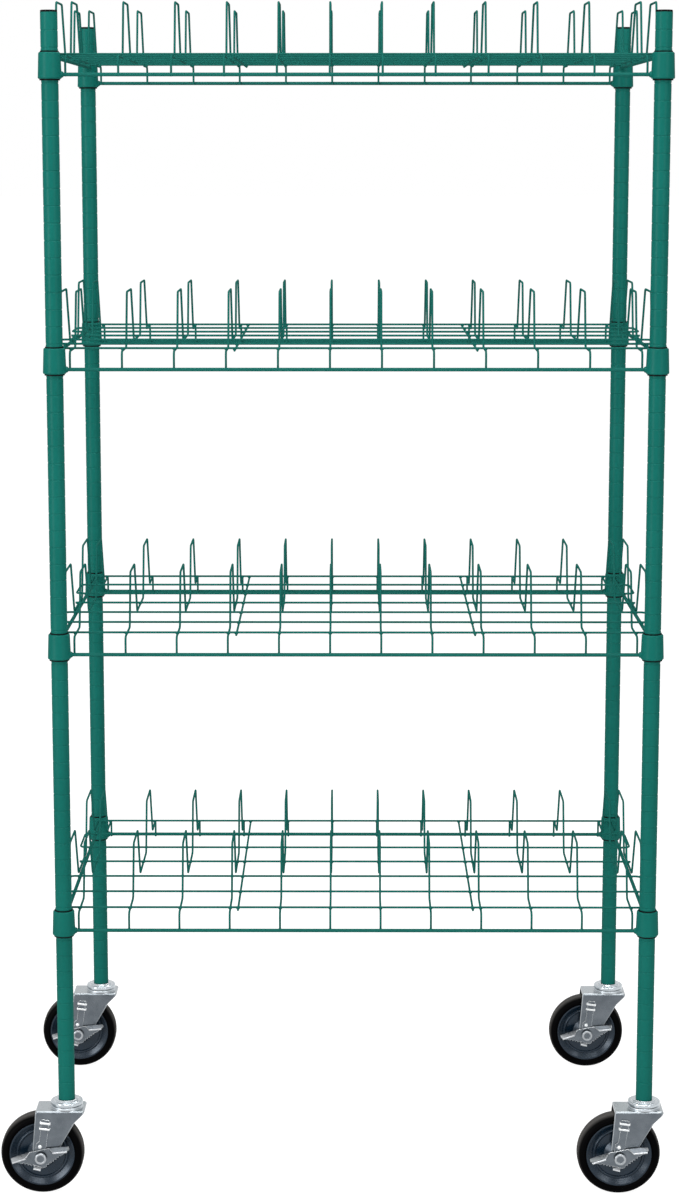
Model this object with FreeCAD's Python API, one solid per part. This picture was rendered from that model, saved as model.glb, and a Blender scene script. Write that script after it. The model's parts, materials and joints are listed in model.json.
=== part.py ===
import FreeCAD, Part
import os
from math import cos, pi, radians, sin, tan

from FreeCAD import Vector

# Mobile wire drying rack, in millimetres: X along the shelves, Y from front to back, Z up.
# The origin is on the floor, midway between the four posts.
POST_PITCH_X = 883.0
POST_PITCH_Y = 578.0

# Posts: grooved steel tubes with a plastic cap on top and a bored insert in the foot.
POST_DIAMETER = 25.0
POST_WALL = 1.5
GROOVE_PITCH = 25.0
GROOVE_COUNT = 64
GROOVE_WIDTH = 2.4
GROOVE_DEPTH = 0.5
POST_PLAIN_TOP = 25.5
POST_PLAIN_FOOT = 27.0
CAP_THICKNESS = 3.0
CAP_EDGE_RADIUS = 1.2
CAP_INSET = 0.2
CAP_PLUG_LENGTH = 14.0
INSERT_LENGTH = 45.0
PRESS_GAP = 0.05

# Shelves: counted in grooves up the posts, each wedged on split tapered sleeves.
TIER_COUNT = 4
LOWEST_TIER_GROOVE_COUNT = 11
TIER_STEP_GROOVE_COUNT = 17
MAT_ABOVE_GROOVE = 17.0
SLEEVE_HEIGHT = 41.8
SLEEVE_BELOW_GROOVE = 21.0
SLEEVE_TOP_WALL = 1.1
SLEEVE_FOOT_WALL = 2.4
SLEEVE_SLIT_DEGREES = 4.0
SLEEVE_FOOT_LIP = 2.0
TAPER_BAND_COUNT = 8
COLLAR_HEIGHT = 38.0
COLLAR_WALL = 2.3
COLLAR_EDGE_RADIUS = 2.2
COLLAR_LUG_REACH = 19.5
COLLAR_LUG_ROOT_DIAMETER = 12.0
COLLAR_LUG_TIP_DIAMETER = 8.0

# Shelf wires. Heights are measured from the centre line of the mat wires.
FRAME_ROD_DIAMETER = 5.5
FRAME_ROD_BELOW_MAT = 29.6
SIDE_ROD_INSET = 4.0
WIRE_DIAMETER = 3.3
WELD_GAP = 0.05
MAT_WIRE_COUNT = 7
EDGE_WIRE_INSET = 23.0
WIRE_TAIL = 4.0
HAIRPIN_OVERHANG = 12.0
HAIRPIN_BEND_RADIUS = 10.0
SUPPORT_WIRE_X = 178.6

# Divider loops: one wire makes two upright loops and turns down to both frame rods.
LOOP_WIRE_COUNT = 12
LOOP_PITCH = 76.25
LOOP_HEIGHT = 78.0
LOOP_FOOT_LENGTH = 145.5
LOOP_FRONT_LEAN = 23.0
LOOP_BACK_LEAN = 44.0
FIRST_LOOP_Y = -203.7
LOOP_SPACING_Y = 271.0
WIRE_BEND_RADIUS = 8.0

# Wheels.
WHEEL_DIAMETER = 127.0
TYRE_THICKNESS = 13.5
TYRE_WIDTH = 32.0
TREAD_WIDTH = 10.0
TYRE_BEAD_DEPTH = 3.0
HUB_RIM_WIDTH = 27.0
HUB_RIM_THICKNESS = 2.2
HUB_RIM_SLOPE = 7.5
HUB_WEB_THICKNESS = 18.5
HUB_BEAD_DIAMETER = 75.0
HUB_BEAD_WIDTH = 4.4
HUB_BEAD_HEIGHT = 2.0
HUB_BOSS_DIAMETER = 26.0
HUB_BOSS_LENGTH = 32.0
HUB_FLARE_DIAMETER = 45.0
RUNNING_GAP = 0.05
SIDE_PLAY = 0.3

# Caster forks: pressed plate, trailing towards -X.
CASTER_TRAIL = 38.0
CROWN_GAP = 5.6
FORK_PLATE = 3.0
FORK_WIDTH = 50.0
FORK_BEND_RADIUS = 4.0
FORK_EDGE_RADIUS = 2.4
FORK_TAIL_REACH = 8.0
FORK_NOSE_REACH = 28.5
FORK_NOSE_RADIUS = 5.0
FORK_NOSE_DROP = 13.9
FORK_NOSE_SET_BACK = 14.0
FORK_FOOT_RADIUS = 12.5
FORK_FOOT_FORWARD = 28.0
FORK_FOOT_TOE = 15.0
FORK_FOOT_TOE_DROP = 6.0
FORK_FOOT_HEEL = 13.3

# Swivel bearing and stem.
RACE_DIAMETER = 49.0
LOWER_RACE_HEIGHT = 4.5
RACE_GAP = 1.0
UPPER_RACE_HEIGHT = 8.5
UPPER_RACE_SEAT_DIAMETER = 34.0
UPPER_RACE_RIM_HEIGHT = 5.5
RACE_EDGE_RADIUS = 2.0
BALL_DIAMETER = 4.4
BALL_PATH_DIAMETER = 36.0
BALL_COUNT = 16
BALL_GAP = 0.3
STEM_DIAMETER = 12.0
STEM_LENGTH = 40.0
RIVET_HEAD_DIAMETER = 20.0
RIVET_HEAD_HEIGHT = 3.5

# Axle.
AXLE_DIAMETER = 8.0
BUSH_DIAMETER = 12.0
NUT_DIAMETER = 18.0
NUT_HEIGHT = 4.5
NUT_RECESS_DIAMETER = 11.5
NUT_RECESS_DEPTH = 1.2
NUT_EDGE_RADIUS = 2.0

# Brake: a two-winged toggle on the axle, and the flat strap that it lifts in a lanced guide.
LEVER_THICKNESS = 2.0
LEVER_STAND_OFF = 2.3
LEVER_SPAN = 45.0
LEVER_RISE = 12.0
LEVER_DROP = 16.5
LEVER_SHOULDER = 15.0
LEVER_BOTTOM_WIDTH = 6.0
LEVER_TIP_RISE = 8.5
LEVER_TIP_DEPTH = 5.0
LEVER_REST_DEGREES = 12.0
PAD_REACH = 11.0
PAD_DROOP_DEGREES = 20.0
PAD_INNER_SET_BACK = 7.0
PAD_OUTER_SET_BACK = 2.0
PAD_RIM_DIAMETER = 3.0
TOOTH_COUNT = 6
TOOTH_RADIUS = 1.8
TOOTHED_EDGE_PERCENT = 70.0
TAB_START = 0.5
TAB_LENGTH = 11.0
TAB_REACH = 7.0
TAB_DROOP_DEGREES = 20.0
STRAP_THICKNESS = 1.5
STRAP_WIDTH = 11.5
STRAP_LEAN_DEGREES = 7.5
STRAP_FOOT = 9.5
STRAP_FOOT_HEIGHT = 15.0
STRAP_FOOT_REACH = 4.0
STRAP_TOP = 60.0
STRAP_RIVET_DIAMETER = 5.6
STRAP_RIVET_RISE = 16.3
STRAP_RIVET_OFFSET = -3.6
STRAP_RIVET_HEIGHT = 2.0
STRAP_RIVET_EDGE_RADIUS = 1.2
GUIDE_BAR_HEIGHT = 3.4
GUIDE_LOWER_RISE = 43.5
GUIDE_UPPER_RISE = 52.5
GUIDE_SIDE_GAP = 0.5
GUIDE_LEG_WIDTH = 1.8
GUIDE_EDGE_RADIUS = 1.0

# Heights and radii that follow from the sizes above.
AXLE_Z = WHEEL_DIAMETER / 2
PLATE_BASE_Z = WHEEL_DIAMETER + CROWN_GAP
PLATE_TOP_Z = PLATE_BASE_Z + FORK_PLATE
LOWER_RACE_TOP_Z = PLATE_TOP_Z + LOWER_RACE_HEIGHT
UPPER_RACE_BASE_Z = LOWER_RACE_TOP_Z + RACE_GAP
POST_BASE_Z = UPPER_RACE_BASE_Z + UPPER_RACE_HEIGHT
POST_RADIUS = POST_DIAMETER / 2
POST_BORE_RADIUS = POST_RADIUS - POST_WALL
FIRST_GROOVE_Z = POST_BASE_Z + POST_PLAIN_FOOT
POST_TOP_Z = FIRST_GROOVE_Z + (GROOVE_COUNT - 1) * GROOVE_PITCH + POST_PLAIN_TOP
SLEEVE_BORE_RADIUS = POST_RADIUS + PRESS_GAP
COLLAR_FOOT_Z = SLEEVE_FOOT_LIP - SLEEVE_BELOW_GROOVE
COLLAR_TOP_Z = COLLAR_FOOT_Z + COLLAR_HEIGHT
FORMED_WIRE_Z = -(WIRE_DIAMETER + WELD_GAP)
SIDE_ROD_Z = -((FRAME_ROD_DIAMETER + WIRE_DIAMETER) / 2 + WELD_GAP)
ROD_TO_WIRE = (FRAME_ROD_DIAMETER + WIRE_DIAMETER) / 2 + WELD_GAP
SIDE_ROD_X = POST_PITCH_X / 2 - SIDE_ROD_INSET
END_LOOP_X = SIDE_ROD_X + ROD_TO_WIRE
MAT_HALF_LENGTH = END_LOOP_X + WIRE_TAIL
EDGE_WIRE_Y = POST_PITCH_Y / 2 - EDGE_WIRE_INSET
MAT_WIRE_PITCH = 2 * EDGE_WIRE_Y / (MAT_WIRE_COUNT - 1)
TYRE_BORE_RADIUS = WHEEL_DIAMETER / 2 - TYRE_THICKNESS
FORK_FACE = FORK_WIDTH / 2
FORK_INNER = FORK_FACE - FORK_PLATE
LEVER_BACK = FORK_FACE + LEVER_STAND_OFF
LEVER_FACE = LEVER_BACK + LEVER_THICKNESS
NUT_BACK = LEVER_FACE + LEVER_STAND_OFF
STRAP_BACK = FORK_FACE + SIDE_PLAY
STRAP_FACE = STRAP_BACK + STRAP_THICKNESS

CORNERS = {
    "front_left": Vector(-POST_PITCH_X / 2, -POST_PITCH_Y / 2, 0),
    "front_right": Vector(POST_PITCH_X / 2, -POST_PITCH_Y / 2, 0),
    "back_left": Vector(-POST_PITCH_X / 2, POST_PITCH_Y / 2, 0),
    "back_right": Vector(POST_PITCH_X / 2, POST_PITCH_Y / 2, 0),
}
X_AXIS = Vector(1, 0, 0)
Y_AXIS = Vector(0, 1, 0)
Z_AXIS = Vector(0, 0, 1)


def radial(radius, height):
    return Vector(radius, 0, height)


def outline(place, start, steps):
    """Closed wire through 2D points. A step is an end point, or a mid point and an end point of an arc."""
    edges = []
    here = start
    for step in steps + [start]:
        if isinstance(step[0], tuple):
            middle, end = step
            edges.append(Part.Arc(place(*here), place(*middle), place(*end)).toShape())
        else:
            end = step
            edges.append(Part.LineSegment(place(*here), place(*end)).toShape())
        here = end
    return Part.Wire(edges)


def taper(start, end):
    """Steps along a straight line of an outline, so that a long taper is turned as a stack of short bands."""
    shares = [index / TAPER_BAND_COUNT for index in range(1, TAPER_BAND_COUNT + 1)]
    return [(start[0] + (end[0] - start[0]) * s, start[1] + (end[1] - start[1]) * s) for s in shares]


def turned(start, *steps, sweep=360.0):
    """Solid turned about Z from a closed outline of radius and height."""
    face = Part.Face(outline(radial, start, list(steps)))
    return face.revolve(Vector(), Z_AXIS, sweep)


def round_corner(centre, radius, degrees_from, degrees_to):
    """Arc step about a centre, as its mid point and end point."""
    turn_middle = radians((degrees_from + degrees_to) / 2)
    turn_end = radians(degrees_to)
    middle = (centre[0] + radius * cos(turn_middle), centre[1] + radius * sin(turn_middle))
    end = (centre[0] + radius * cos(turn_end), centre[1] + radius * sin(turn_end))
    return middle, end


def along_y(shape):
    """Lay a shape turned about Z down on the Y axis."""
    return shape.rotated(Vector(), X_AXIS, -90)


def tube(outer_radius, inner_radius, foot, top):
    return turned((inner_radius, foot), (outer_radius, foot), (outer_radius, top), (inner_radius, top))


def wire_bend(before, corner, after, radius):
    """Start, middle and end of the tangent arc that rounds a corner of a wire."""
    back = (before - corner).normalize()
    ahead = (after - corner).normalize()
    half_angle = back.getAngle(ahead) / 2
    inward = (back + ahead).normalize()
    reach = radius / tan(half_angle)
    middle = corner + inward * (radius / sin(half_angle) - radius)
    return corner + back * reach, middle, corner + ahead * reach


def bent_wire(points, bend_radius, closed=False):
    """One length of round wire: straight runs joined by tangent bends."""
    count = len(points)
    corners = range(count) if closed else range(1, count - 1)
    bends = [wire_bend(points[i - 1], points[i], points[(i + 1) % count], bend_radius) for i in corners]
    here = bends[-1][2] if closed else points[0]
    path = []
    for bend in bends:
        path.append(Part.LineSegment(here, bend[0]).toShape())
        path.append(Part.Arc(*bend).toShape())
        here = bend[2]
    if not closed:
        path.append(Part.LineSegment(here, points[-1]).toShape())
    first = path[0]
    start = first.valueAt(first.FirstParameter)
    heading = first.tangentAt(first.FirstParameter)
    section = Part.Wire(Part.makeCircle(WIRE_DIAMETER / 2, start, heading))
    return Part.Wire(path).makePipeShell([section], True, False)


def straight_rod(diameter, start, end):
    return Part.makeCylinder(diameter / 2, start.distanceToPoint(end), start, end - start)


def post():
    """Tube with a rolled groove at every step of the groove pitch above a plain foot, standing on Z = 0."""
    length = POST_TOP_Z - POST_BASE_Z
    steps = []
    for index in range(GROOVE_COUNT):
        level = POST_PLAIN_FOOT + index * GROOVE_PITCH
        steps.append((POST_RADIUS, level - GROOVE_WIDTH / 2))
        steps.append(((POST_RADIUS - GROOVE_DEPTH, level), (POST_RADIUS, level + GROOVE_WIDTH / 2)))
    steps.append((POST_RADIUS, length))
    steps.append((POST_BORE_RADIUS, length))
    steps.append((POST_BORE_RADIUS, 0.0))
    return turned((POST_RADIUS, 0.0), *steps)


def post_cap():
    """Plastic plug with a flush head, its seat on Z = 0."""
    head_radius = POST_RADIUS - CAP_INSET
    plug_radius = POST_BORE_RADIUS - PRESS_GAP
    plug_bore = plug_radius - POST_WALL
    edge_centre = (head_radius - CAP_EDGE_RADIUS, CAP_THICKNESS - CAP_EDGE_RADIUS)
    return turned(
        (0.0, 0.0),
        (plug_bore, 0.0),
        (plug_bore, -CAP_PLUG_LENGTH),
        (plug_radius - PRESS_GAP, -CAP_PLUG_LENGTH),
        (plug_radius, 0.0),
        (head_radius, 0.0),
        (head_radius, CAP_THICKNESS - CAP_EDGE_RADIUS),
        round_corner(edge_centre, CAP_EDGE_RADIUS, 0, 90),
        (0.0, CAP_THICKNESS),
    )


def post_insert():
    """Bored bush pressed into the foot of a post, standing on Z = 0."""
    return tube(POST_BORE_RADIUS - PRESS_GAP, STEM_DIAMETER / 2 + PRESS_GAP, 0.0, INSERT_LENGTH)


def sleeve_radius(level):
    """Outer radius of the tapered sleeve at a height above its groove."""
    share = (level + SLEEVE_BELOW_GROOVE) / SLEEVE_HEIGHT
    wall = SLEEVE_FOOT_WALL + (SLEEVE_TOP_WALL - SLEEVE_FOOT_WALL) * share
    return SLEEVE_BORE_RADIUS + wall


def sleeve_halves():
    """Split sleeve about a groove at Z = 0, with an inner bead that sits in the groove."""
    foot = -SLEEVE_BELOW_GROOVE
    top = foot + SLEEVE_HEIGHT
    bead_half = GROOVE_WIDTH / 2 - PRESS_GAP
    bead_crest = POST_RADIUS - GROOVE_DEPTH + PRESS_GAP
    half = turned(
        (SLEEVE_BORE_RADIUS, foot),
        (sleeve_radius(foot), foot),
        *taper((sleeve_radius(foot), foot), (sleeve_radius(top), top)),
        (SLEEVE_BORE_RADIUS, top),
        (SLEEVE_BORE_RADIUS, bead_half),
        ((bead_crest, 0.0), (SLEEVE_BORE_RADIUS, -bead_half)),
        sweep=180.0 - SLEEVE_SLIT_DEGREES,
    )
    return [half.rotated(Vector(), Z_AXIS, turn + SLEEVE_SLIT_DEGREES / 2) for turn in (0.0, 180.0)]


def collar_body(extra):
    """Outside of a tapered collar, without its bore, grown by an extra radius."""
    wall = PRESS_GAP + COLLAR_WALL + extra
    foot_radius = sleeve_radius(COLLAR_FOOT_Z) + wall
    top_radius = sleeve_radius(COLLAR_TOP_Z) + wall
    edge = COLLAR_EDGE_RADIUS
    foot_centre = (foot_radius - edge, COLLAR_FOOT_Z + edge)
    top_centre = (top_radius - edge, COLLAR_TOP_Z - edge)
    return turned(
        (0.0, COLLAR_FOOT_Z),
        (foot_radius - edge, COLLAR_FOOT_Z),
        round_corner(foot_centre, edge, -90, 0),
        *taper((foot_radius, foot_centre[1]), (top_radius, top_centre[1])),
        round_corner(top_centre, edge, 0, 90),
        (0.0, COLLAR_TOP_Z),
    )


def collar(inward):
    """Collar about a groove at Z = 0, with a weld lug for the frame rod on its inward side."""
    bore_foot = COLLAR_FOOT_Z - COLLAR_LUG_ROOT_DIAMETER
    bore_top = COLLAR_TOP_Z + COLLAR_LUG_ROOT_DIAMETER
    foot_edge = (sleeve_radius(bore_foot) + PRESS_GAP, bore_foot)
    bore = turned(
        (0.0, bore_foot),
        foot_edge,
        *taper(foot_edge, (sleeve_radius(bore_top) + PRESS_GAP, bore_top)),
        (0.0, bore_top),
    )
    lug_level = Vector(0, 0, MAT_ABOVE_GROOVE - FRAME_ROD_BELOW_MAT)
    root = POST_RADIUS
    lug = Part.makeCone(
        COLLAR_LUG_ROOT_DIAMETER / 2,
        COLLAR_LUG_TIP_DIAMETER / 2,
        COLLAR_LUG_REACH - root,
        lug_level + inward * root,
        inward,
    )
    return collar_body(0.0).fuse(lug).cut(bore)


def tier_corners():
    """Post positions, each with the direction along X towards the middle of the shelf."""
    for corner in CORNERS.values():
        yield corner, X_AXIS * (-1 if corner.x > 0 else 1)


def shelf_collars():
    return [collar(inward).translated(corner) for corner, inward in tier_corners()]


def shelf_sleeves():
    return [half.translated(corner) for corner in CORNERS.values() for half in sleeve_halves()]


def frame_rods():
    """Front and back rods between the collar lugs, and side rods mitred to the collars."""
    rods = []
    rod_half = POST_PITCH_X / 2 - COLLAR_LUG_REACH
    for y in (-POST_PITCH_Y / 2, POST_PITCH_Y / 2):
        start = Vector(-rod_half, y, -FRAME_ROD_BELOW_MAT)
        rods.append(straight_rod(FRAME_ROD_DIAMETER, start, start + X_AXIS * (2 * rod_half)))
    for x in (-SIDE_ROD_X, SIDE_ROD_X):
        start = Vector(x, -POST_PITCH_Y / 2, SIDE_ROD_Z)
        rod = straight_rod(FRAME_ROD_DIAMETER, start, start + Y_AXIS * POST_PITCH_Y)
        for corner in CORNERS.values():
            rod = rod.cut(collar_body(WELD_GAP).translated(corner - Z_AXIS * MAT_ABOVE_GROOVE))
        rods.append(max(rod.Solids, key=lambda solid: solid.Volume))
    return rods


def mat_wires():
    """Lengthwise wires: single edge and middle wires, and two closed hairpins between them."""
    rows = [-EDGE_WIRE_Y + index * MAT_WIRE_PITCH for index in range(MAT_WIRE_COUNT)]
    middle = MAT_WIRE_COUNT // 2
    wires = []
    for row in (rows[0], rows[middle], rows[-1]):
        start = Vector(-MAT_HALF_LENGTH, row, 0)
        wires.append(straight_rod(WIRE_DIAMETER, start, start + X_AXIS * (2 * MAT_HALF_LENGTH)))
    reach = POST_PITCH_X / 2 + HAIRPIN_OVERHANG
    for near, far in ((rows[1], rows[middle - 1]), (rows[middle + 1], rows[-2])):
        left = [Vector(-reach, far, 0), Vector(-reach, near, 0)]
        right = [Vector(reach, near, 0), Vector(reach, far, 0)]
        wires.append(bent_wire(left + right, HAIRPIN_BEND_RADIUS, closed=True))
    return wires


def loop_points():
    """Path of the two upright loops of a divider wire, from front to back, at X = 0."""
    points = []
    for first in (FIRST_LOOP_Y, FIRST_LOOP_Y + LOOP_SPACING_Y):
        last = first + LOOP_FOOT_LENGTH
        points.append(Vector(0, first, FORMED_WIRE_Z))
        points.append(Vector(0, first + LOOP_FRONT_LEAN, LOOP_HEIGHT))
        points.append(Vector(0, last - LOOP_BACK_LEAN, LOOP_HEIGHT))
        points.append(Vector(0, last, FORMED_WIRE_Z))
    return points


def drying_loops():
    """Divider wires along the shelf, and one more beside each side rod without the turned-down ends."""
    drop_y = POST_PITCH_Y / 2 - ROD_TO_WIRE
    drop_foot = -(FRAME_ROD_BELOW_MAT + FRAME_ROD_DIAMETER / 2)
    front = [Vector(0, -drop_y, drop_foot), Vector(0, -drop_y, FORMED_WIRE_Z)]
    back = [Vector(0, drop_y, FORMED_WIRE_Z), Vector(0, drop_y, drop_foot)]
    inner = bent_wire(front + loop_points() + back, WIRE_BEND_RADIUS)
    end_y = EDGE_WIRE_Y + WIRE_TAIL
    end_start = Vector(0, -end_y, FORMED_WIRE_Z)
    end_stop = Vector(0, end_y, FORMED_WIRE_Z)
    outer = bent_wire([end_start] + loop_points() + [end_stop], WIRE_BEND_RADIUS)
    first = -(LOOP_WIRE_COUNT - 1) / 2 * LOOP_PITCH
    wires = [inner.translated(X_AXIS * (first + index * LOOP_PITCH)) for index in range(LOOP_WIRE_COUNT)]
    return wires + [outer.translated(X_AXIS * x) for x in (-END_LOOP_X, END_LOOP_X)]


def support_wires():
    """Straight cross wires that carry the hairpins between the divider wires."""
    half = EDGE_WIRE_Y + WIRE_TAIL
    starts = [Vector(x, -half, FORMED_WIRE_Z) for x in (-SUPPORT_WIRE_X, SUPPORT_WIRE_X)]
    return [straight_rod(WIRE_DIAMETER, start, start + Y_AXIS * (2 * half)) for start in starts]


def tyre():
    """Tyre with rounded shoulders, turned about the axle."""
    tread_radius = WHEEL_DIAMETER / 2
    half = TYRE_WIDTH / 2
    seat = HUB_RIM_WIDTH / 2
    shoulder = half - TREAD_WIDTH / 2
    upper = round_corner((tread_radius - shoulder, half - shoulder), shoulder, 90, 0)
    lower = round_corner((tread_radius - shoulder, shoulder - half), shoulder, 0, -90)
    return along_y(turned(
        (TYRE_BORE_RADIUS, -seat),
        (TYRE_BORE_RADIUS, seat),
        (TYRE_BORE_RADIUS + TYRE_BEAD_DEPTH, half),
        (tread_radius - shoulder, half),
        upper,
        (tread_radius, shoulder - half),
        lower,
        (TYRE_BORE_RADIUS + TYRE_BEAD_DEPTH, -half),
    ))


def hub():
    """Hub with a sloped rim, a dished web, a raised bead on each face and a flared boss, about the axle."""
    rim = TYRE_BORE_RADIUS - PRESS_GAP
    rim_half = HUB_RIM_WIDTH / 2
    lip = rim - HUB_RIM_THICKNESS
    web_half = HUB_WEB_THICKNESS / 2
    bead = HUB_BEAD_DIAMETER / 2
    bead_half = HUB_BEAD_WIDTH / 2
    crest = web_half + HUB_BEAD_HEIGHT
    boss = HUB_BOSS_DIAMETER / 2
    boss_half = FORK_INNER - SIDE_PLAY
    flare = HUB_FLARE_DIAMETER / 2
    bore = BUSH_DIAMETER / 2 + RUNNING_GAP
    face = [
        (boss, boss_half),
        (boss, HUB_BOSS_LENGTH / 2),
        (flare, web_half),
        (bead - bead_half, web_half),
        ((bead, crest), (bead + bead_half, web_half)),
        (lip - HUB_RIM_SLOPE, web_half),
        (lip, rim_half),
        (rim, rim_half),
    ]
    other_face = [
        (rim, -rim_half),
        (lip, -rim_half),
        (lip - HUB_RIM_SLOPE, -web_half),
        (bead + bead_half, -web_half),
        ((bead, -crest), (bead - bead_half, -web_half)),
        (flare, -web_half),
        (boss, -HUB_BOSS_LENGTH / 2),
        (boss, -boss_half),
        (bore, -boss_half),
    ]
    return along_y(turned((bore, boss_half), *face, *other_face))


def axle_set():
    """Bolt, wheel bush, lever spacer and nut on the axle; the nut and lever are on the -Y side."""
    thread = AXLE_DIAMETER / 2
    fit = thread + RUNNING_GAP
    head = NUT_DIAMETER / 2
    edge = NUT_EDGE_RADIUS
    end = NUT_BACK + NUT_HEIGHT
    recess = NUT_RECESS_DIAMETER / 2
    recess_floor = end - NUT_RECESS_DEPTH
    head_end = FORK_FACE + NUT_HEIGHT
    bolt = turned(
        (0.0, -recess_floor),
        (thread, -recess_floor),
        (thread, FORK_FACE),
        (head, FORK_FACE),
        (head, head_end - edge),
        round_corner((head - edge, head_end - edge), edge, 0, 90),
        (0.0, head_end),
    )
    bush = tube(BUSH_DIAMETER / 2, fit, PRESS_GAP - FORK_INNER, FORK_INNER - PRESS_GAP)
    spacer = tube(BUSH_DIAMETER / 2, fit, PRESS_GAP - NUT_BACK, -FORK_FACE)
    nut = turned(
        (fit, -NUT_BACK),
        (fit, -recess_floor),
        (recess, -recess_floor),
        (recess, -end),
        (head - edge, -end),
        round_corner((head - edge, edge - end), edge, -90, 0),
        (head, -NUT_BACK),
    )
    return [along_y(piece) for piece in (bolt, bush, spacer, nut)]


def leg_point(offset, height):
    """Point on the outer face of the -Y fork leg, from the axle."""
    return Vector(offset, -FORK_FACE, height)


def fork():
    """Pressed fork about the axle: two legs under a crown plate that carries the lower race."""
    crown = PLATE_TOP_Z - AXLE_Z
    nose = CASTER_TRAIL + FORK_NOSE_REACH
    foot = FORK_FOOT_RADIUS
    side = outline(leg_point, (-FORK_TAIL_REACH, crown), [
        (nose, crown),
        (nose, crown - FORK_PLATE),
        (nose - FORK_NOSE_SET_BACK, crown - FORK_PLATE - FORK_NOSE_DROP),
        (FORK_FOOT_FORWARD, foot),
        (FORK_FOOT_TOE, -FORK_FOOT_TOE_DROP),
        ((0.0, -foot), (-foot, 0.0)),
        (-FORK_FOOT_HEEL, foot),
    ])
    block = Part.Face(side).extrude(Y_AXIS * FORK_WIDTH)
    at_nose = [e for e in block.Edges if e.CenterOfMass.x > nose - PRESS_GAP]
    block = block.makeFillet(FORK_NOSE_RADIUS, [e for e in at_nose if abs(e.CenterOfMass.y) > FORK_INNER])
    crown_bends = outer_edges(block, lambda middle: middle.z > crown - PRESS_GAP)
    block = block.makeFillet(FORK_BEND_RADIUS, crown_bends)
    block = block.makeFillet(FORK_EDGE_RADIUS, outer_edges(block, rolled_edge))
    reach = nose + FORK_TAIL_REACH + 2 * foot
    hollow_height = crown - FORK_PLATE + 2 * foot
    hollow = Part.makeBox(reach, 2 * FORK_INNER, hollow_height, Vector(-2 * foot, -FORK_INNER, -2 * foot))
    body = block.cut(hollow)
    body = body.fuse(lower_race().translated(Vector(CASTER_TRAIL, 0, crown)))
    for rise in (GUIDE_LOWER_RISE, GUIDE_UPPER_RISE):
        body = body.fuse(guide_bar(rise))
    pin_hole = Part.makeCylinder(STEM_DIAMETER / 2 + RUNNING_GAP, 2 * crown, Vector(CASTER_TRAIL, 0, 0))
    axle_hole = Part.makeCylinder(AXLE_DIAMETER / 2 + RUNNING_GAP, FORK_WIDTH, leg_point(0, 0), Y_AXIS)
    return body.cut(pin_hole).cut(axle_hole).removeSplitter()


def outer_edges(block, chosen):
    """Edges on the two outer faces of the fork whose middles a test picks."""
    on_face = [e for e in block.Edges if abs(abs(e.CenterOfMass.y) - FORK_FACE) < PRESS_GAP]
    return [e for e in on_face if chosen(e.CenterOfMass)]


def rolled_edge(middle):
    """True on the sloped rear and front edges of a fork leg, between its foot and its crown."""
    rear = middle.x < -FORK_TAIL_REACH and middle.z > FORK_FOOT_RADIUS
    return rear or (middle.x > FORK_FOOT_FORWARD and middle.z < PLATE_BASE_Z - AXLE_Z - FORK_NOSE_DROP)


def lower_race():
    """Ring pressed up from the crown plate, with the lower half of the ball path."""
    outer = RACE_DIAMETER / 2
    path = BALL_PATH_DIAMETER / 2
    inner = 2 * path - outer
    edge = RACE_EDGE_RADIUS
    ring = turned(
        (inner, 0.0),
        (outer, 0.0),
        (outer, LOWER_RACE_HEIGHT - edge),
        round_corner((outer - edge, LOWER_RACE_HEIGHT - edge), edge, 0, 90),
        (inner, LOWER_RACE_HEIGHT),
    )
    return ring.cut(ball_path(LOWER_RACE_HEIGHT + RACE_GAP / 2))


def ball_path(level):
    return Part.makeTorus(BALL_PATH_DIAMETER / 2, BALL_DIAMETER / 2 + BALL_GAP, Vector(0, 0, level))


def guide_bar(rise):
    """Lanced bridge on the -Y leg that the brake strap slides behind."""
    inside = STRAP_WIDTH / 2 + GUIDE_SIDE_GAP
    outside = inside + GUIDE_LEG_WIDTH
    depth = STRAP_FACE + SIDE_PLAY - FORK_FACE
    front = -FORK_FACE - depth - STRAP_THICKNESS
    base = Vector(-outside, front, rise)
    bridge = Part.makeBox(2 * outside, depth + STRAP_THICKNESS, GUIDE_BAR_HEIGHT, base)
    shoulders = [e for e in bridge.Edges if e.CenterOfMass.y < front + PRESS_GAP]
    bridge = bridge.makeFillet(GUIDE_EDGE_RADIUS, shoulders)
    gap_base = Vector(-inside, -FORK_FACE - depth, rise)
    bridge = bridge.cut(Part.makeBox(2 * inside, depth, GUIDE_BAR_HEIGHT, gap_base))
    return bridge.rotated(Vector(), Y_AXIS, STRAP_LEAN_DEGREES)


def stem_and_race():
    """Stem with its riveted foot through the crown plate, and the upper race that the post stands on."""
    stem = STEM_DIAMETER / 2
    head = RIVET_HEAD_DIAMETER / 2
    head_top = PLATE_BASE_Z - SIDE_PLAY
    head_foot = head_top - RIVET_HEAD_HEIGHT
    pin = turned(
        (0.0, head_foot),
        (head - RIVET_HEAD_HEIGHT / 2, head_foot),
        (head, head_foot + RIVET_HEAD_HEIGHT / 2),
        (head, head_top),
        (stem, head_top),
        (stem, POST_BASE_Z + STEM_LENGTH - PRESS_GAP),
        (stem - POST_WALL, POST_BASE_Z + STEM_LENGTH),
        (0.0, POST_BASE_Z + STEM_LENGTH),
    )
    outer = RACE_DIAMETER / 2
    edge = RACE_EDGE_RADIUS
    rim_top = UPPER_RACE_BASE_Z + UPPER_RACE_RIM_HEIGHT
    seat = UPPER_RACE_SEAT_DIAMETER / 2
    race = turned(
        (stem + PRESS_GAP, UPPER_RACE_BASE_Z),
        (outer, UPPER_RACE_BASE_Z),
        (outer, rim_top - edge),
        round_corner((outer - edge, rim_top - edge), edge, 0, 90),
        (seat + edge, rim_top),
        (seat, POST_BASE_Z),
        (stem + PRESS_GAP, POST_BASE_Z),
    )
    return [pin, race.cut(ball_path(UPPER_RACE_BASE_Z - RACE_GAP / 2))]


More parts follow.
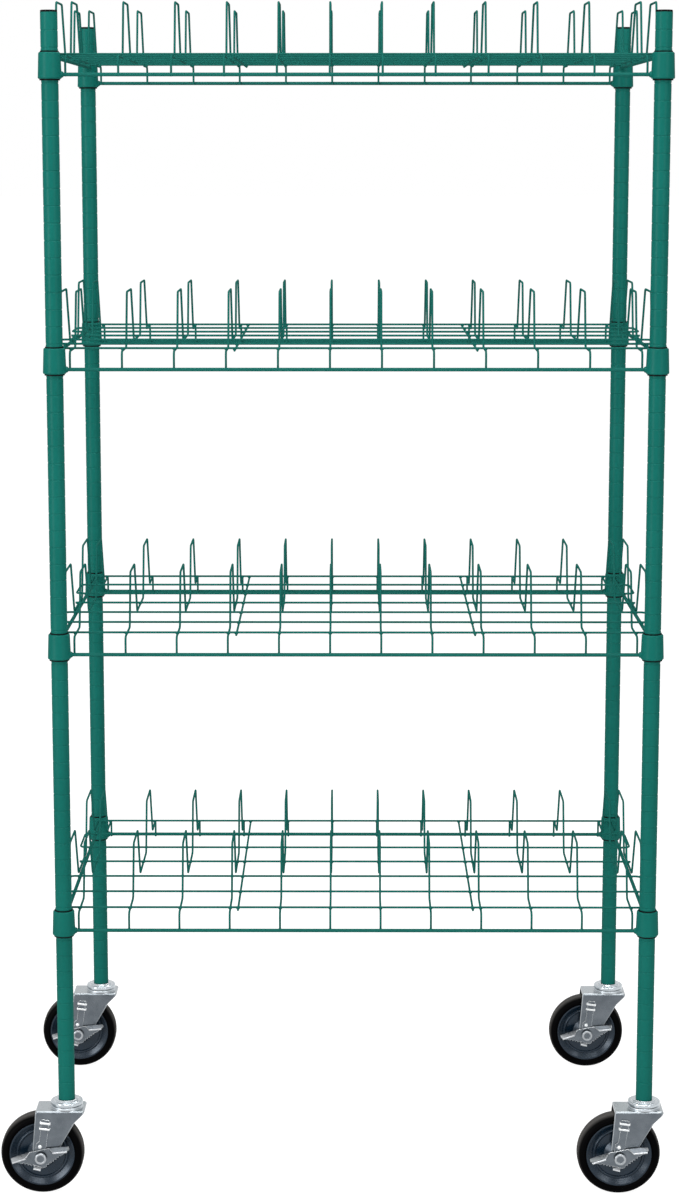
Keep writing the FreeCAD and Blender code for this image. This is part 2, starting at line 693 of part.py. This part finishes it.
def race_balls():
    """Ball circle between the two races of one caster, about its stem axis."""
    level = LOWER_RACE_TOP_Z + RACE_GAP / 2
    radius = BALL_PATH_DIAMETER / 2
    turns = [2 * pi * index / BALL_COUNT for index in range(BALL_COUNT)]
    centres = [Vector(radius * cos(turn), radius * sin(turn), level) for turn in turns]
    return [Part.makeSphere(BALL_DIAMETER / 2, centre) for centre in centres]


def lever_point(offset, height):
    return Vector(offset, -LEVER_FACE, height)


def lever_plate():
    """Flat two-winged plate of the brake lever, with teeth along its lower edges."""
    tip_low = LEVER_TIP_RISE - LEVER_TIP_DEPTH
    plate = Part.Face(outline(lever_point, (-LEVER_SPAN, LEVER_TIP_RISE), [
        (-LEVER_SHOULDER, LEVER_RISE),
        (LEVER_SHOULDER, LEVER_RISE),
        (LEVER_SPAN, LEVER_TIP_RISE),
        (LEVER_SPAN, tip_low),
        (LEVER_BOTTOM_WIDTH / 2, -LEVER_DROP),
        (-LEVER_BOTTOM_WIDTH / 2, -LEVER_DROP),
        (-LEVER_SPAN, tip_low),
    ])).extrude(Y_AXIS * LEVER_THICKNESS)
    for side in (-1, 1):
        start = lever_point(side * LEVER_BOTTOM_WIDTH / 2, -LEVER_DROP)
        run = lever_point(side * LEVER_SPAN, tip_low) - start
        for index in range(1, TOOTH_COUNT + 1):
            place = run * (index / (TOOTH_COUNT + 1) * TOOTHED_EDGE_PERCENT / 100)
            if side > 0 or place.Length > TAB_START + TAB_LENGTH + TOOTH_RADIUS:
                plate = plate.cut(Part.makeCylinder(TOOTH_RADIUS, LEVER_THICKNESS, start + place, Y_AXIS))
    return plate


def wing_pad(side):
    """Foot pad folded out along the upper edge of one wing, with a rolled rim along its outer edge."""
    inner = lever_point(side * LEVER_SHOULDER, LEVER_RISE)
    outer = lever_point(side * LEVER_SPAN, LEVER_TIP_RISE)
    along = (outer - inner).normalize()
    inward = Y_AXIS.cross(along) * side
    droop = radians(PAD_DROOP_DEGREES)
    out = (inward * sin(droop) - Y_AXIS * cos(droop)) * PAD_REACH
    rim_start = inner + along * PAD_INNER_SET_BACK + out
    rim_end = outer - along * PAD_OUTER_SET_BACK + out
    sheet = Part.Face(Part.makePolygon([inner, outer, rim_end, rim_start, inner]))
    pad = sheet.extrude(inward * LEVER_THICKNESS)
    rim_drop = inward * (LEVER_THICKNESS - PAD_RIM_DIAMETER / 2)
    return pad.fuse(straight_rod(PAD_RIM_DIAMETER, rim_start + rim_drop, rim_end + rim_drop))


def lever_tab():
    """Small tab folded out of the lower edge of the left wing."""
    corner = lever_point(-LEVER_BOTTOM_WIDTH / 2, -LEVER_DROP)
    along = (lever_point(-LEVER_SPAN, LEVER_TIP_RISE - LEVER_TIP_DEPTH) - corner).normalize()
    start = corner + along * TAB_START
    end = start + along * TAB_LENGTH
    inward = Y_AXIS.cross(along)
    droop = radians(TAB_DROOP_DEGREES)
    out = (inward * -sin(droop) - Y_AXIS * cos(droop)) * TAB_REACH
    sheet = Part.Face(Part.makePolygon([start, end, end + out, start + out, start]))
    return sheet.extrude(inward * LEVER_THICKNESS)


def brake_lever():
    """Brake toggle about the axle, tilted to its released position."""
    lever = lever_plate()
    for side in (-1, 1):
        lever = lever.fuse(wing_pad(side))
    lever = lever.fuse(lever_tab())
    bore = Part.makeCylinder(BUSH_DIAMETER / 2 + RUNNING_GAP, LEVER_THICKNESS, lever_point(0, 0), Y_AXIS)
    return lever.cut(bore).removeSplitter().rotated(Vector(), Y_AXIS, -LEVER_REST_DEGREES)


def strap_point(offset, height):
    return Vector(offset, -STRAP_FACE, height)


def brake_strap():
    """Flat strap behind the guide bars, with a rivet in its widened foot, leaning with the fork leg."""
    half = STRAP_WIDTH / 2
    heel = half + STRAP_FOOT_REACH
    foot_top = STRAP_FOOT + STRAP_FOOT_HEIGHT
    strip = Part.Face(outline(strap_point, (half, STRAP_TOP), [
        (-half, STRAP_TOP),
        (-half, foot_top),
        (-heel, foot_top - STRAP_FOOT_REACH),
        (-heel, STRAP_FOOT),
        (half, STRAP_FOOT),
    ])).extrude(Y_AXIS * STRAP_THICKNESS)
    rivet_base = strap_point(STRAP_RIVET_OFFSET, STRAP_RIVET_RISE)
    rivet = Part.makeCylinder(STRAP_RIVET_DIAMETER / 2, STRAP_RIVET_HEIGHT, rivet_base, Y_AXIS * -1)
    crown = [e for e in rivet.Edges if e.CenterOfMass.y < PRESS_GAP - STRAP_FACE - STRAP_RIVET_HEIGHT]
    strap = strip.fuse(rivet.makeFillet(STRAP_RIVET_EDGE_RADIUS, crown)).removeSplitter()
    return strap.rotated(Vector(), Y_AXIS, STRAP_LEAN_DEGREES)


def export(name, solids):
    shape = solids[0] if len(solids) == 1 else Part.Compound(solids)
    shape.exportStep("parts/%s.step" % name)
    print(name, len(solids), "valid" if shape.isValid() else "INVALID", round(shape.Volume, 1))


def build_posts():
    standing = post()
    for name, corner in CORNERS.items():
        export("post_" + name, [standing.translated(corner + Z_AXIS * POST_BASE_Z)])
    caps = post_cap()
    export("post_caps", [caps.translated(corner + Z_AXIS * POST_TOP_Z) for corner in CORNERS.values()])
    insert = post_insert()
    export("post_inserts", [insert.translated(corner + Z_AXIS * POST_BASE_Z) for corner in CORNERS.values()])


def build_shelves():
    at_groove = {"collars": shelf_collars(), "sleeves": shelf_sleeves()}
    at_mat = {
        "frame_rods": frame_rods(),
        "mat_wires": mat_wires(),
        "drying_loops": drying_loops(),
        "support_wires": support_wires(),
    }
    for tier in range(TIER_COUNT):
        groove = LOWEST_TIER_GROOVE_COUNT + tier * TIER_STEP_GROOVE_COUNT
        groove_lift = Z_AXIS * (FIRST_GROOVE_Z + (groove - 1) * GROOVE_PITCH)
        mat_lift = groove_lift + Z_AXIS * MAT_ABOVE_GROOVE
        for lift, pieces in ((groove_lift, at_groove), (mat_lift, at_mat)):
            for name, solids in pieces.items():
                export("%s_tier_%d" % (name, tier + 1), [solid.translated(lift) for solid in solids])


def build_casters():
    at_stem = {"caster_stem": stem_and_race()}
    at_axle = {
        "caster_fork": [fork()],
        "wheel_axle": axle_set(),
        "wheel_hub": [hub()],
        "wheel_tyre": [tyre()],
        "brake_lever": [brake_lever()],
        "brake_strap": [brake_strap()],
    }
    axle_shift = Vector(-CASTER_TRAIL, 0, AXLE_Z)
    for corner_name, corner in CORNERS.items():
        for shift, pieces in ((corner, at_stem), (corner + axle_shift, at_axle)):
            for name, solids in pieces.items():
                export("%s_%s" % (name, corner_name), [solid.translated(shift) for solid in solids])
    balls = race_balls()
    export("swivel_balls", [ball.translated(corner) for corner in CORNERS.values() for ball in balls])


os.makedirs("parts", exist_ok=True)
build_posts()
build_shelves()
build_casters()
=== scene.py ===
import json
import math

import bpy
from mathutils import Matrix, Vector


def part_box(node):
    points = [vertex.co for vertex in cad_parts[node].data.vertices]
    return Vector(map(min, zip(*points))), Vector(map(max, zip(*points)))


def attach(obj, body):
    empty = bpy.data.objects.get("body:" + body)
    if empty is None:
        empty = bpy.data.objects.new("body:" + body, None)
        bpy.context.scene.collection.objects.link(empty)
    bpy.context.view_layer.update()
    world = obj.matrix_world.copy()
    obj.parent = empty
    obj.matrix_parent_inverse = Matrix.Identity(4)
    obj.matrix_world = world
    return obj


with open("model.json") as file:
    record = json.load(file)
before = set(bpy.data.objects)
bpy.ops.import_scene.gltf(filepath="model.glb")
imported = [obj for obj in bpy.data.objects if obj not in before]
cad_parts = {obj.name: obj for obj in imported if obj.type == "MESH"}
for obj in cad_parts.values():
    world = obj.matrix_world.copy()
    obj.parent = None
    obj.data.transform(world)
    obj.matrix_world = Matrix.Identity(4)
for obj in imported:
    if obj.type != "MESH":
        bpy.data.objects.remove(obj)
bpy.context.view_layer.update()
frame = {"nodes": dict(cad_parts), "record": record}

TIERS = (1, 2, 3, 4)

# Sizes of the rack that the weld beads and the finishes follow, in metres.
POST_PITCH_Y = 0.578
LEG_FACE = 0.025
STRAP_FACE = 0.0268
LEVER_FACE = 0.0293
NUT_RECESS_FLOOR = 0.0349
LOWER_RACE_HEIGHT = 0.0045
TAB_DEPTH = 0.005
PROUD_BY = 0.0002
WIRE_RADIUS = 0.00165
FRAME_ROD_RADIUS = 0.00275
MAT_ROW_COUNT = 7
LOOP_WIRE_COUNT = 12
LOOP_PITCH = 0.07625
SUPPORT_WIRE_X = 0.1786
BEAD_SIDES = 8
BEAD_RADIUS = 0.0019
BEAD_HEIGHT = 0.0022
BEAD_STRETCH = 1.9
BEAD_PINCH = 0.8
BEAD_EDGE = 0.0004

# Colours of the finishes. A pair holds the two shades that a finish drifts between.
POST_GREEN = ((0.0034, 0.100, 0.081), (0.0044, 0.113, 0.092))
WIRE_GREEN = ((0.0080, 0.092, 0.076), (0.0095, 0.104, 0.086))
CAP_BLACK = ((0.0018, 0.0026, 0.0025), (0.0034, 0.0044, 0.0042))
HUB_SLATE = ((0.001, 0.006, 0.013), (0.003, 0.010, 0.019))
HUB_SHINE_TINT = (0.76, 0.87, 1.0)
# The paler grey of the tread is a painted highlight.
TREAD_PAINTED_HIGHLIGHT = (0.068, 0.065, 0.063)
SIDEWALL_BLACK = (0.0006, 0.0006, 0.0008)
ZINC_FACE = ((0.112, 0.128, 0.145), (0.148, 0.166, 0.185))
# Paler zinc on faces that look along X: a painted highlight.
ZINC_PAINTED_SIDE_HIGHLIGHT = (0.42, 0.45, 0.47)
# Paler zinc on upward faces: painted light from above.
ZINC_PAINTED_TOP_LIGHT = (0.36, 0.39, 0.41)
# Pale zinc along the edges: a painted edge highlight.
ZINC_PAINTED_EDGE_HIGHLIGHT = (0.80, 0.82, 0.83)
# Pale zinc of the guide bars, the rivet and the lever's upward faces: a painted highlight.
ZINC_PAINTED_HIGHLIGHT = (0.74, 0.76, 0.77)
ZINC_RACE = (0.47, 0.51, 0.54)
ZINC_WING = (0.45, 0.47, 0.49)
# Pale zinc along the edges of the nut: a painted edge highlight.
ZINC_NUT_PAINTED_EDGE_HIGHLIGHT = (0.38, 0.40, 0.42)
ZINC_NUT_FACE = (0.36, 0.38, 0.40)
WHITE = (1.0, 1.0, 1.0)
FLOOR_GREY = (0.86, 0.86, 0.86)

# How much the coats shine, and how metallic the dull tab of the brake lever is.
POST_SHINE = 0.12
WIRE_SHINE = 0.03
TAB_METAL = 0.3

# Studio: the fill from all round and the glow of the floor.
FILL_STRENGTH = 0.44
SEEN_STRENGTH = 1.0
FLOOR_SIZE = 160.0
FLOOR_GLOW = 1.25
FLOOR_GLOW_SHARE = 0.75

# Softboxes, all aimed at the middle of the rack: name, place, width, height and power.
LIT_POINT = (0.0, 0.0, 0.9)
SOFTBOXES = (
    ("key_softbox", (-3.9, -3.4, 1.6), 1.6, 2.8, 120.0),
    ("fill_softbox", (2.8, -3.6, 1.7), 0.8, 2.6, 32.0),
    ("front_softbox", (-0.2, -4.3, 3.1), 2.4, 0.4, 30.0),
    ("top_softbox", (0.0, -0.6, 4.4), 3.2, 2.4, 70.0),
    ("strip_softbox", (0.0, -2.0, 3.6), 2.6, 0.5, 40.0),
    ("back_softbox", (0.6, 3.2, 4.6), 2.6, 1.6, 80.0),
)

# Camera solved from the photograph of 679 x 1195 pixels.
PHOTO_HEIGHT = 1195
FOCAL_PIXELS = 2695.32
CENTRE_ROW = 579.99
CAMERA_PITCH = 0.16009
CAMERA_YAW = 0.00343
CAMERA_PLACE = (-0.01060, -4.23512, 1.58904)
SENSOR_WIDTH = 36.0


def new_material(name):
    """New material with a Principled surface; returns the material, its node tree and the surface."""
    material = bpy.data.materials.new(name)
    material.use_nodes = True
    tree = material.node_tree
    return material, tree, tree.nodes["Principled BSDF"]


def opaque(colour):
    """Colour with full alpha, as sockets take it."""
    return (*colour, 1.0)


def noise(tree, scale, detail=2.0, roughness=0.5):
    """Noise texture in the piece's own coordinates."""
    place = tree.nodes.new("ShaderNodeTexCoord")
    texture = tree.nodes.new("ShaderNodeTexNoise")
    texture.inputs["Scale"].default_value = scale
    texture.inputs["Detail"].default_value = detail
    texture.inputs["Roughness"].default_value = roughness
    tree.links.new(place.outputs["Object"], texture.inputs["Vector"])
    return texture.outputs["Fac"]


def spread(tree, value, low, high, from_low=0.3, from_high=0.7):
    """Map a value onto a range of a socket."""
    mapped = tree.nodes.new("ShaderNodeMapRange")
    mapped.inputs["From Min"].default_value = from_low
    mapped.inputs["From Max"].default_value = from_high
    mapped.inputs["To Min"].default_value = low
    mapped.inputs["To Max"].default_value = high
    tree.links.new(value, mapped.inputs["Value"])
    return mapped.outputs["Result"]


def two_tone(tree, value, shades, from_low=0.35, from_high=0.65):
    """Colour that drifts between two shades with a value."""
    ramp = tree.nodes.new("ShaderNodeValToRGB")
    stops = ramp.color_ramp.elements
    for stop, position, shade in zip(stops, (from_low, from_high), shades):
        stop.position = position
        stop.color = opaque(shade)
    tree.links.new(value, ramp.inputs["Fac"])
    return ramp.outputs["Color"]


def math_node(tree, operation, first, *terms):
    """One sum on a value, with plain numbers or other sockets as its further terms."""
    node = tree.nodes.new("ShaderNodeMath")
    node.operation = operation
    tree.links.new(first, node.inputs[0])
    for socket, term in zip(node.inputs[1:], terms):
        if isinstance(term, float):
            socket.default_value = term
        else:
            tree.links.new(term, socket)
    return node.outputs["Value"]


def blended(tree, value, first, second):
    """Colour between a colour socket and a second colour, by a mask."""
    mix = tree.nodes.new("ShaderNodeMix")
    mix.data_type = "RGBA"
    tree.links.new(value, mix.inputs["Factor"])
    tree.links.new(first, mix.inputs[6])
    mix.inputs[7].default_value = opaque(second)
    return mix.outputs[2]


def own_axis(tree, space, axis):
    """One axis of the piece's own coordinates or normals."""
    place = tree.nodes.new("ShaderNodeTexCoord")
    split = tree.nodes.new("ShaderNodeSeparateXYZ")
    tree.links.new(place.outputs[space], split.inputs["Vector"])
    return split.outputs[axis]


def soft_edges(tree, radius):
    """Normal that rounds the sharp edges of a piece."""
    bevel = tree.nodes.new("ShaderNodeBevel")
    bevel.samples = 4
    bevel.inputs["Radius"].default_value = radius
    return bevel.outputs["Normal"]


def painted_edge_highlight(tree, edges, low, high):
    """Mask that rises towards the edges of a piece, from the bent normal of its rounded edges; it places a
    painted edge highlight.
    """
    shape = tree.nodes.new("ShaderNodeNewGeometry")
    agree = tree.nodes.new("ShaderNodeVectorMath")
    agree.operation = "DOT_PRODUCT"
    tree.links.new(shape.outputs["Normal"], agree.inputs[0])
    tree.links.new(edges, agree.inputs[1])
    return spread(tree, agree.outputs["Value"], 1.0, 0.0, low, high)


def bumped(tree, surface, height, strength, distance, edges=None):
    """Fine relief on the surface, over rounded edges where these are given."""
    bump = tree.nodes.new("ShaderNodeBump")
    bump.inputs["Strength"].default_value = strength
    bump.inputs["Distance"].default_value = distance
    tree.links.new(height, bump.inputs["Height"])
    if edges is not None:
        tree.links.new(edges, bump.inputs["Normal"])
    tree.links.new(bump.outputs["Normal"], surface.inputs["Normal"])


def coated(surface, weight, roughness):
    """Only a clear coat shines; the colour under it is matt."""
    surface.inputs["Specular IOR Level"].default_value = 0.0
    surface.inputs["Coat Weight"].default_value = weight
    surface.inputs["Coat Roughness"].default_value = roughness


def green_epoxy(name, shades, shine):
    """Smooth green epoxy coat over steel, with the faint ripple of a baked powder finish."""
    material, tree, surface = new_material(name)
    drift = noise(tree, scale=7.0, detail=3.0)
    tree.links.new(two_tone(tree, drift, shades), surface.inputs["Base Color"])
    ripple = noise(tree, scale=420.0)
    tree.links.new(spread(tree, ripple, low=0.33, high=0.43), surface.inputs["Roughness"])
    coated(surface, weight=shine, roughness=0.34)
    bumped(tree, surface, ripple, strength=0.12, distance=0.0004)
    return material


def black_plastic():
    """Moulded black plastic of the post caps and the split sleeves."""
    material, tree, surface = new_material("moulded_black_plastic")
    drift = noise(tree, scale=25.0)
    tree.links.new(two_tone(tree, drift, CAP_BLACK), surface.inputs["Base Color"])
    grain = noise(tree, scale=900.0, detail=3.0)
    tree.links.new(spread(tree, grain, low=0.42, high=0.58), surface.inputs["Roughness"])
    coated(surface, weight=0.1, roughness=0.4)
    edges = soft_edges(tree, radius=0.0005)
    bumped(tree, surface, grain, strength=0.15, distance=0.0003, edges=edges)
    return material


def slate_plastic():
    """Satin blue-grey moulded plastic of the wheel hubs."""
    material, tree, surface = new_material("satin_slate_plastic")
    drift = noise(tree, scale=30.0, detail=3.0)
    tree.links.new(two_tone(tree, drift, HUB_SLATE), surface.inputs["Base Color"])
    grain = noise(tree, scale=700.0)
    tree.links.new(spread(tree, grain, low=0.20, high=0.30), surface.inputs["Roughness"])
    surface.inputs["Specular IOR Level"].default_value = 0.43
    surface.inputs["Specular Tint"].default_value = opaque(HUB_SHINE_TINT)
    edges = soft_edges(tree, radius=0.0008)
    bumped(tree, surface, grain, strength=0.08, distance=0.0003, edges=edges)
    return material


def black_rubber():
    """Black rubber whose tread is painted paler grey than the sidewall, a painted highlight."""
    material, tree, surface = new_material("black_tyre_rubber")
    # Tread painted paler grey than the sidewall: a painted highlight.
    sideways = math_node(tree, "ABSOLUTE", own_axis(tree, "Normal", "Y"))
    shade = two_tone(tree, sideways, (TREAD_PAINTED_HIGHLIGHT, SIDEWALL_BLACK), from_low=0.2, from_high=0.72)
    tree.links.new(shade, surface.inputs["Base Color"])
    grain = noise(tree, scale=500.0, detail=4.0, roughness=0.6)
    tree.links.new(spread(tree, grain, low=0.45, high=0.66), surface.inputs["Roughness"])
    coated(surface, weight=0.04, roughness=0.45)
    bumped(tree, surface, grain, strength=0.2, distance=0.0003)
    return material


def stands_proud(tree, reach):
    """Mask of what stands out further than a plate's face on the brake side of any caster."""
    depth = math_node(tree, "WRAP", own_axis(tree, "Object", "Y"), 0.0, -POST_PITCH_Y)
    face = -POST_PITCH_Y / 2 - reach
    return spread(tree, depth, 1.0, 0.0, face - PROUD_BY, face)


def lies_above(tree, level):
    """Mask of what lies above a level of the piece."""
    return spread(tree, own_axis(tree, "Object", "Z"), 0.0, 1.0, level, level + PROUD_BY)


def zinc_plate(name, masks, roughness=(0.24, 0.38), painted_tops=ZINC_PAINTED_TOP_LIGHT, edge_highlight=ZINC_PAINTED_EDGE_HIGHLIGHT):
    """Zinc plate on pressed steel: clouded faces, upward faces painted paler as painted light from above,
    faces along X painted paler as a painted highlight, and painted highlights on the edges.

    Each mask is a function, its size and the colour of what it picks out.
    """
    material, tree, surface = new_material(name)
    surface.inputs["Metallic"].default_value = 1.0
    cloud = noise(tree, scale=45.0, detail=5.0, roughness=0.6)
    plated = two_tone(tree, cloud, ZINC_FACE)
    # Faces that look along X are painted paler: a painted highlight.
    sideways = math_node(tree, "ABSOLUTE", own_axis(tree, "Normal", "X"))
    side_highlight = spread(tree, sideways, 0.0, 1.0, from_low=0.25, from_high=0.75)
    plated = blended(tree, side_highlight, plated, ZINC_PAINTED_SIDE_HIGHLIGHT)
    # Upward faces are painted paler: painted light from above.
    upward = spread(tree, own_axis(tree, "Normal", "Z"), 0.0, 1.0, from_low=0.45, from_high=0.9)
    plated = blended(tree, upward, plated, painted_tops)
    for mask, size, mask_colour in masks:
        plated = blended(tree, mask(tree, size), plated, mask_colour)
    # Edges are painted pale: a painted edge highlight.
    edges = soft_edges(tree, radius=0.0012)
    plated = blended(tree, painted_edge_highlight(tree, edges, low=0.85, high=0.992), plated, edge_highlight)
    tree.links.new(plated, surface.inputs["Base Color"])
    grain = noise(tree, scale=260.0, detail=4.0, roughness=0.65)
    tree.links.new(spread(tree, grain, *roughness), surface.inputs["Roughness"])
    bumped(tree, surface, grain, strength=0.05, distance=0.0003, edges=edges)
    return material


def dull_below(material, level):
    """Let a plated piece scatter light like chalky zinc below a level, where its tab is dull."""
    tree = material.node_tree
    metal = math_node(tree, "MULTIPLY_ADD", lies_above(tree, level), 1.0 - TAB_METAL, TAB_METAL)
    tree.links.new(metal, tree.nodes["Principled BSDF"].inputs["Metallic"])


def caster_finishes():
    """Zinc plate of each kind of caster piece, with its own colour where the race, the guide bars, the
    rivet, the lever's wings or the nut face lie; the pale guide bars and rivet are a painted highlight.
    """
    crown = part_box("caster_fork_front_left")[1].z - LOWER_RACE_HEIGHT
    race = (lies_above, crown, ZINC_RACE)
    # The pale guide bars and rivet are a painted highlight.
    guide_bars = (stands_proud, LEG_FACE, ZINC_PAINTED_HIGHLIGHT)
    rivet = (stands_proud, STRAP_FACE, ZINC_PAINTED_HIGHLIGHT)
    wings = (stands_proud, LEVER_FACE, ZINC_WING)
    nut_face = (stands_proud, NUT_RECESS_FLOOR, ZINC_NUT_FACE)
    # The lever's upward faces are painted pale: a painted highlight.
    lever = zinc_plate("zinc_lever", [wings], painted_tops=ZINC_PAINTED_HIGHLIGHT)
    dull_below(lever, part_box("brake_lever_front_left")[0].z + TAB_DEPTH)
    return {
        "caster_fork": zinc_plate("zinc_fork", [guide_bars, race]),
        "caster_stem": zinc_plate("zinc_race", [race], roughness=(0.12, 0.22)),
        "brake_strap": zinc_plate("zinc_strap", [rivet]),
        "brake_lever": lever,
        # The nut's edges get a painted edge highlight.
        "wheel_axle": zinc_plate("zinc_nut", [nut_face], edge_highlight=ZINC_NUT_PAINTED_EDGE_HIGHLIGHT),
        "zinc_steel": zinc_plate("plain_zinc", []),
    }


def finish_nodes(finishes):
    """Give every CAD node its finish: by its kind, and else by the slot that the record names."""
    for subpart in frame["record"]["subparts"]:
        node = subpart["node"]
        kinds = [kind for kind in finishes if node.startswith(kind)]
        piece = frame["nodes"][node]
        piece.data.materials.clear()
        piece.data.materials.append(finishes[kinds[0] if kinds else subpart["material_slot"]])


def deselect():
    bpy.ops.object.select_all(action="DESELECT")


def stretch_ring(bead, above, along_x, along_y):
    """Widen the upper or the lower ring of a bead along the wire that it lies against."""
    bpy.ops.object.mode_set(mode="OBJECT")
    for point in bead.data.vertices:
        point.select = (point.co.z > 0.0) == above
    bpy.ops.object.mode_set(mode="EDIT")
    bpy.ops.transform.resize(value=(along_x, along_y, 1.0))


def weld_bead():
    """Fillet of weld between a wire along X and one along Y under it: each ring runs along its own wire."""
    deselect()
    bpy.ops.mesh.primitive_cylinder_add(
        vertices=BEAD_SIDES, radius=BEAD_RADIUS, depth=BEAD_HEIGHT, location=(0.0, 0.0, 0.0)
    )
    bead = bpy.context.object
    bpy.ops.object.mode_set(mode="EDIT")
    bpy.ops.mesh.select_mode(type="VERT")
    stretch_ring(bead, True, BEAD_STRETCH, BEAD_PINCH)
    stretch_ring(bead, False, BEAD_PINCH, BEAD_STRETCH)
    bpy.ops.mesh.select_all(action="SELECT")
    bpy.ops.mesh.bevel(offset=BEAD_EDGE, segments=1, affect="EDGES")
    bpy.ops.mesh.normals_make_consistent(inside=False)
    bpy.ops.object.mode_set(mode="OBJECT")
    bpy.ops.object.shade_smooth()
    return bead


def bead_places(tier):
    """Contact points of one shelf's wires: where they cross flat, and on the front and back frame rods."""
    mat_low, mat_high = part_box("mat_wires_tier_%d" % tier)
    rod_low, rod_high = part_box("frame_rods_tier_%d" % tier)
    loop_low, loop_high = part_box("drying_loops_tier_%d" % tier)
    level = mat_low.z
    first_row = mat_low.y + WIRE_RADIUS
    row_pitch = (mat_high.y - mat_low.y - 2 * WIRE_RADIUS) / (MAT_ROW_COUNT - 1)
    rows = [first_row + index * row_pitch for index in range(MAT_ROW_COUNT)]
    single_rows = (rows[0], rows[MAT_ROW_COUNT // 2], rows[-1])
    inner = [(index - (LOOP_WIRE_COUNT - 1) / 2) * LOOP_PITCH for index in range(LOOP_WIRE_COUNT)]
    outer = [loop_low.x + WIRE_RADIUS, loop_high.x - WIRE_RADIUS]
    side_rods = [rod_low.x + FRAME_ROD_RADIUS, rod_high.x - FRAME_ROD_RADIUS]
    crossings = [(x, y, level) for x in inner + outer for y in single_rows]
    crossings += [(x, y, level) for x in [-SUPPORT_WIRE_X, SUPPORT_WIRE_X] + side_rods for y in rows]
    rod_level = rod_low.z + FRAME_ROD_RADIUS
    front = [(x, loop_low.y, rod_level) for x in inner]
    back = [(x, loop_high.y, rod_level) for x in inner]
    return crossings, front + back


def weld_beads(tier, coat):
    """All weld beads of one shelf, as one piece. A bead on a frame rod stands on edge."""
    model = weld_bead()
    crossings, on_rods = bead_places(tier)
    beads = []
    for place in crossings + on_rods:
        bead = model.copy()
        bead.data = model.data.copy()
        bead.location = place
        if place in on_rods:
            bead.rotation_euler.x = math.copysign(math.pi / 2, -place[1])
        bpy.context.collection.objects.link(bead)
        beads.append(bead)
    bpy.data.objects.remove(model)
    deselect()
    for bead in beads:
        bead.select_set(True)
    bpy.context.view_layer.objects.active = beads[0]
    bpy.ops.object.join()
    bpy.ops.object.transform_apply(location=True, rotation=True, scale=True)
    piece = bpy.context.object
    piece.name = "weld_beads_tier_%d" % tier
    piece.data.materials.append(coat)
    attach(piece, "rack")


def seen_directly(tree):
    """One for what the camera sees, also in a mirror or through glass, and zero for light on the rack."""
    path = tree.nodes.new("ShaderNodeLightPath")
    seen = path.outputs["Is Camera Ray"]
    for ray in ("Is Glossy Ray", "Is Transmission Ray"):
        seen = math_node(tree, "MAXIMUM", seen, path.outputs[ray])
    return seen


def studio_floor():
    """Pale floor that keeps a soft shadow and shows white to the camera."""
    deselect()
    bpy.ops.mesh.primitive_plane_add(size=FLOOR_SIZE, location=(0.0, 0.0, 0.0))
    floor = bpy.context.object
    floor.name = "studio_floor"
    material, tree, surface = new_material("pale_studio_floor")
    surface.inputs["Base Color"].default_value = opaque(FLOOR_GREY)
    surface.inputs["Roughness"].default_value = 1.0
    surface.inputs["Specular IOR Level"].default_value = 0.0
    glow = tree.nodes.new("ShaderNodeEmission")
    glow.inputs["Color"].default_value = opaque(WHITE)
    glow.inputs["Strength"].default_value = FLOOR_GLOW
    mix = tree.nodes.new("ShaderNodeMixShader")
    share = spread(tree, seen_directly(tree), 0.0, FLOOR_GLOW_SHARE, 0.0, 1.0)
    tree.links.new(share, mix.inputs["Fac"])
    tree.links.new(surface.outputs["BSDF"], mix.inputs[1])
    tree.links.new(glow.outputs["Emission"], mix.inputs[2])
    tree.links.new(mix.outputs["Shader"], tree.nodes["Material Output"].inputs["Surface"])
    floor.data.materials.append(material)


def studio_world():
    """White surroundings for the camera and for reflections, and an even fill on the rack."""
    world = bpy.data.worlds.new("white_studio")
    bpy.context.scene.world = world
    world.use_nodes = True
    tree = world.node_tree
    background = tree.nodes["Background"]
    background.inputs["Color"].default_value = opaque(WHITE)
    strength = spread(tree, seen_directly(tree), FILL_STRENGTH, SEEN_STRENGTH, 0.0, 1.0)
    tree.links.new(strength, background.inputs["Strength"])


def softbox(name, place, width, height, power):
    """Rectangular studio light aimed at the middle of the rack."""
    lamp = bpy.data.lights.new(name, "AREA")
    lamp.shape = "RECTANGLE"
    lamp.size = width
    lamp.size_y = height
    lamp.energy = power
    holder = bpy.data.objects.new(name, lamp)
    bpy.context.scene.collection.objects.link(holder)
    holder.location = place
    aim = [target - start for target, start in zip(LIT_POINT, place)]
    flat = math.hypot(aim[0], aim[1])
    holder.rotation_euler = (math.atan2(flat, -aim[2]), 0.0, math.atan2(-aim[0], aim[1]))


def photo_camera():
    """Camera at the photograph's place, with the photograph's lens."""
    lens = bpy.data.cameras.new("photo_camera")
    lens.sensor_width = SENSOR_WIDTH
    lens.lens = FOCAL_PIXELS * SENSOR_WIDTH / PHOTO_HEIGHT
    lens.shift_y = (CENTRE_ROW - PHOTO_HEIGHT / 2) / PHOTO_HEIGHT
    camera = bpy.data.objects.new("photo_camera", lens)
    bpy.context.scene.collection.objects.link(camera)
    camera.location = CAMERA_PLACE
    camera.rotation_euler = (math.pi / 2 - CAMERA_PITCH, 0.0, CAMERA_YAW)
    bpy.context.scene.camera = camera


bpy.context.scene.view_settings.view_transform = "Standard"
wire_coat = green_epoxy("green_wire_coat", WIRE_GREEN, WIRE_SHINE)
wire_kinds = ("frame_rods", "mat_wires", "drying_loops", "support_wires")
finish_nodes({
    "green_epoxy": green_epoxy("green_epoxy_coat", POST_GREEN, POST_SHINE),
    **dict.fromkeys(wire_kinds, wire_coat),
    "black_plastic": black_plastic(),
    **caster_finishes(),
    "slate_plastic": slate_plastic(),
    "black_rubber": black_rubber(),
})
for shelf in TIERS:
    weld_beads(shelf, wire_coat)
studio_floor()
studio_world()
for box in SOFTBOXES:
    softbox(*box)
photo_camera()
